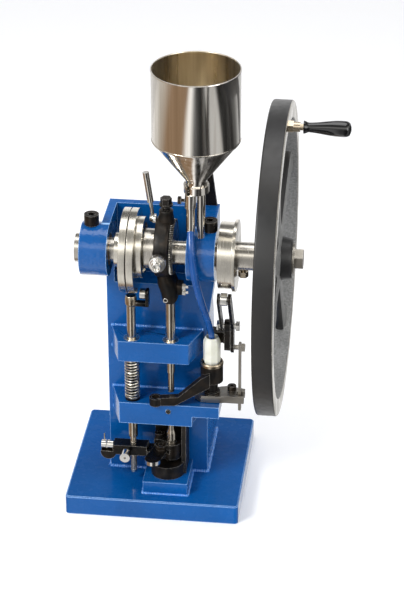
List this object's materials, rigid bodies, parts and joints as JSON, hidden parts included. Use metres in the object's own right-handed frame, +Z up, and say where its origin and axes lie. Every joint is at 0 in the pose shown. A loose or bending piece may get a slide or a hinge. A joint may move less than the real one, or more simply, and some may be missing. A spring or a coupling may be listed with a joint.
{
  "type": "hand tablet press",
  "caption": "Bench tablet press with welded frame, crank shaft and handwheel, cam-driven punches, swinging feed shoe and steel hopper.",
  "frame": {"origin": "centre of the base plate's underside", "axes": "+X along the main shaft towards the handwheel, +Y to the back of the column, +Z up"},
  "size_m": [0.439, 0.484, 0.7684],
  "materials": {
    "blue_paint": "gloss enamel with slight orange peel",
    "machined_steel": "turned and ground",
    "bright_steel": "bright ground or plated",
    "stainless": "polished stainless sheet",
    "black_oxide": "black oxide, oiled",
    "wheel_black": "satin black enamel with machined face",
    "grip_plastic": "polished black",
    "bronze": "turned",
    "nylon": "satin",
    "blue_hose": "translucent"
  },
  "bodies": {
    "frame": {"base_plate": "blue_paint", "foot_block": "blue_paint", "column": "blue_paint", "guide_block": "blue_paint", "die_table": "blue_paint", "bearing_housings": "blue_paint", "shaft_bushes": "bronze", "housing_screws": "black_oxide", "guide_bushes": "machined_steel", "die": "machined_steel", "adjuster_bracket": "black_oxide", "lever_bracket": "black_oxide", "lever_pivot_bolt": "bright_steel", "feeder_pivot_pin": "machined_steel", "hopper_post": "stainless", "hopper": "stainless", "outlet_collar": "stainless", "spout_tube": "stainless", "feed_hose": "blue_hose", "rear_stay": "black_oxide"},
    "crank": {"main_shaft": "machined_steel", "shaft_end_collar": "machined_steel", "flange_disc": "machined_steel", "lift_cam": "machined_steel", "eccentric_sheave": "machined_steel", "feed_cam": "machined_steel", "wheel_sleeve": "machined_steel", "cam_set_screw": "machined_steel", "handwheel": "wheel_black", "wheel_nut": "bright_steel", "handle_stud": "bright_steel"},
    "grip": {"handle_grip": "grip_plastic"},
    "rod": {"connecting_rod": "black_oxide", "rod_clamp_bolt": "black_oxide", "rod_side_bolts": "bright_steel"},
    "lock_lever": {"lock_lever": "bright_steel"},
    "adjuster_ring": {"adjuster_ring": "black_oxide"},
    "adjuster_knob": {"adjuster_knob": "bright_steel"},
    "punch": {"punch_rod": "bright_steel", "upper_punch": "bright_steel"},
    "lift": {"lift_rod": "bright_steel", "lift_fork": "black_oxide", "spring_collar": "black_oxide", "lift_spring": "bright_steel", "crosshead": "black_oxide", "lower_punch": "machined_steel", "crosshead_bolts": "black_oxide"},
    "lift_roller": {"lift_roller": "machined_steel"},
    "keeper": {"clamp_plate": "black_oxide"},
    "stud_lock": {"stud_lock_knob": "bright_steel"},
    "end_screw": {"end_screw": "bright_steel"},
    "feed_lever": {"feed_lever": "black_oxide", "link_bar": "machined_steel"},
    "feed_roller": {"feed_roller": "machined_steel"},
    "feeder": {"feeder_plate": "machined_steel", "feed_shoe": "black_oxide", "feeder_plate_bolt": "black_oxide", "nozzle": "nylon"},
    "die_lock": {"die_lock_screw": "black_oxide"},
    "spout_screw": {"spout_thumb_screw": "black_oxide"}
  },
  "joints": [
    {"name": "crank_spin", "type": "hinge", "parent": "frame", "child": "crank", "pos_m": [0, -0.074, 0.455], "axis": [1, 0, 0], "continuous": true},
    {"name": "grip_spin", "type": "hinge", "parent": "crank", "child": "grip", "pos_m": [0.26, -0.074, 0.676], "axis": [1, 0, 0], "continuous": true},
    {"name": "rod_turn", "type": "hinge", "parent": "crank", "child": "rod", "pos_m": [0.017, -0.074, 0.465], "axis": [1, 0, 0], "continuous": true},
    {"name": "lock_lever_turn", "type": "hinge", "parent": "rod", "child": "lock_lever", "pos_m": [0, -0.074, 0.512], "axis": [1, 0, 0], "range_deg": [-40, 40]},
    {"name": "knob_turn", "type": "hinge", "parent": "rod", "child": "adjuster_knob", "pos_m": [0.0155, -0.13, 0.468], "axis": [0, 1, 0], "range_deg": [-360, 360]},
    {"name": "ring_turn", "type": "hinge", "parent": "rod", "child": "adjuster_ring", "pos_m": [0.031, -0.074, 0.465], "axis": [1, 0, 0], "range_deg": [-5.1, 5.1]},
    {"name": "punch_slide", "type": "slide", "parent": "frame", "child": "punch", "axis": [0, 0, 1], "range_m": [-0.02, 0]},
    {"name": "lift_slide", "type": "slide", "parent": "frame", "child": "lift", "axis": [0, 0, 1], "range_m": [0, 0.012], "deforming": ["lift_spring"]},
    {"name": "lift_roller_spin", "type": "hinge", "parent": "lift", "child": "lift_roller", "pos_m": [-0.017, -0.074, 0.3795], "axis": [1, 0, 0], "continuous": true},
    {"name": "keeper_swivel", "type": "hinge", "parent": "lift", "child": "keeper", "pos_m": [0.01, -0.084, 0.1], "axis": [0, 0, 1], "range_deg": [-20, 20]},
    {"name": "stud_lock_turn", "type": "hinge", "parent": "lift", "child": "stud_lock", "pos_m": [-0.046, -0.09, 0.094], "axis": [0, 1, 0], "range_deg": [-90, 90]},
    {"name": "end_screw_turn", "type": "hinge", "parent": "lift", "child": "end_screw", "pos_m": [-0.07, -0.074, 0.098], "axis": [1, 0, 0], "range_deg": [-60, 60]},
    {"name": "feed_rock", "type": "hinge", "parent": "frame", "child": "feed_lever", "pos_m": [0.115, -0.062, 0.324], "axis": [-1, 0, 0], "range_deg": [-3, 3.4]},
    {"name": "feed_roller_spin", "type": "hinge", "parent": "feed_lever", "child": "feed_roller", "pos_m": [0.114, -0.111, 0.3975], "axis": [1, 0, 0], "continuous": true},
    {"name": "feeder_swing", "type": "hinge", "parent": "frame", "child": "feeder", "pos_m": [0.09, -0.062, 0.2], "axis": [0, 0, -1], "range_deg": [-9, 10]},
    {"name": "die_lock_turn", "type": "hinge", "parent": "frame", "child": "die_lock", "pos_m": [0.023, -0.09, 0.176], "axis": [0, 1, 0], "range_deg": [0, 180]},
    {"name": "spout_screw_turn", "type": "hinge", "parent": "frame", "child": "spout_screw", "pos_m": [0.045, -0.1, 0.558], "axis": [1, 0, 0], "range_deg": [-180, 180]}
  ],
  "couplings": [
    {"joint": "rod_turn", "follows": "crank_spin", "ratio": -1},
    {"joint": "ring_turn", "follows": "knob_turn", "ratio": 0.013889},
    {"joint": "feeder_swing", "follows": "feed_rock", "ratio": 2.9}
  ]
}
